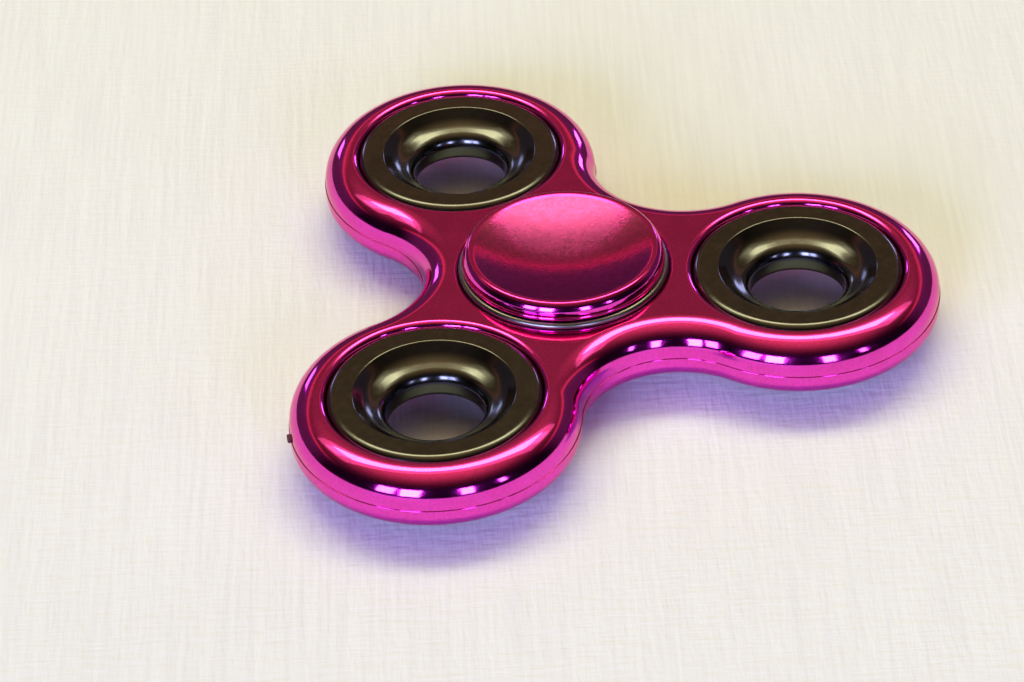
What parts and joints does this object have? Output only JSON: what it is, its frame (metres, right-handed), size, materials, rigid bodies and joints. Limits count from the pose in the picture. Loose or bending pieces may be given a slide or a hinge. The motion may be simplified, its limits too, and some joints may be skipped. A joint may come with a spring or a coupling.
{
  "type": "fidget spinner",
  "caption": "Three-lobed hand spinner: a plated plastic body with pressed-in metal ring weights turns on a central ball bearing between two dished finger caps.",
  "frame": {"origin": "middle of the centre bearing, on the spin axis", "axes": "+Z along the spin axis towards the upper finger cap; the first lobe is on +Y"},
  "size_m": [0.0718, 0.0662, 0.011],
  "materials": {
    "plated_plastic": "mirror-bright pink metallic plating over moulded plastic",
    "weight_metal": "black nickel plated steel, satin gloss",
    "race_steel": "ground bearing steel, satin",
    "ball_steel": "polished bearing steel",
    "sheet_steel": "pressed sheet steel"
  },
  "bodies": {
    "grip": {"finger_cap_top": "plated_plastic", "finger_cap_bottom": "plated_plastic", "bearing_inner_race": "race_steel"},
    "rotor": {"body": "plated_plastic", "weight_ring_1": "weight_metal", "weight_ring_2": "weight_metal", "weight_ring_3": "weight_metal", "bearing_outer_race": "race_steel", "shield_upper": "sheet_steel", "shield_lower": "sheet_steel"},
    "cage": {"cage_upper": "sheet_steel", "cage_lower": "sheet_steel", "cage_rivets": "sheet_steel"},
    "ball_1": {"ball_1": "ball_steel"},
    "ball_2": {"ball_2": "ball_steel"},
    "ball_3": {"ball_3": "ball_steel"},
    "ball_4": {"ball_4": "ball_steel"},
    "ball_5": {"ball_5": "ball_steel"},
    "ball_6": {"ball_6": "ball_steel"},
    "ball_7": {"ball_7": "ball_steel"}
  },
  "joints": [
    {"name": "rotor_spin", "type": "hinge", "parent": "grip", "child": "rotor", "pos_m": [0, 0, 0], "axis": [0, 0, 1], "continuous": true},
    {"name": "cage_orbit", "type": "hinge", "parent": "grip", "child": "cage", "pos_m": [0, 0, 0], "axis": [0, 0, 1], "continuous": true},
    {"name": "ball_1_spin", "type": "hinge", "parent": "cage", "child": "ball_1", "pos_m": [0.0075, 0, 0], "axis": [0, 0, 1], "continuous": true},
    {"name": "ball_2_spin", "type": "hinge", "parent": "cage", "child": "ball_2", "pos_m": [0.00468, 0.00586, 0], "axis": [0, 0, 1], "continuous": true},
    {"name": "ball_3_spin", "type": "hinge", "parent": "cage", "child": "ball_3", "pos_m": [-0.00167, 0.00731, 0], "axis": [0, 0, 1], "continuous": true},
    {"name": "ball_4_spin", "type": "hinge", "parent": "cage", "child": "ball_4", "pos_m": [-0.00676, 0.00325, 0], "axis": [0, 0, 1], "continuous": true},
    {"name": "ball_5_spin", "type": "hinge", "parent": "cage", "child": "ball_5", "pos_m": [-0.00676, -0.00325, 0], "axis": [0, 0, 1], "continuous": true},
    {"name": "ball_6_spin", "type": "hinge", "parent": "cage", "child": "ball_6", "pos_m": [-0.00167, -0.00731, 0], "axis": [0, 0, 1], "continuous": true},
    {"name": "ball_7_spin", "type": "hinge", "parent": "cage", "child": "ball_7", "pos_m": [0.00468, -0.00586, 0], "axis": [0, 0, 1], "continuous": true}
  ],
  "couplings": [
    {"joint": "cage_orbit", "follows": "rotor_spin", "ratio": 0.6323},
    {"joint": "ball_1_spin", "follows": "rotor_spin", "ratio": 1.7573},
    {"joint": "ball_2_spin", "follows": "rotor_spin", "ratio": 1.7573},
    {"joint": "ball_3_spin", "follows": "rotor_spin", "ratio": 1.7573},
    {"joint": "ball_4_spin", "follows": "rotor_spin", "ratio": 1.7573},
    {"joint": "ball_5_spin", "follows": "rotor_spin", "ratio": 1.7573},
    {"joint": "ball_6_spin", "follows": "rotor_spin", "ratio": 1.7573},
    {"joint": "ball_7_spin", "follows": "rotor_spin", "ratio": 1.7573}
  ]
}
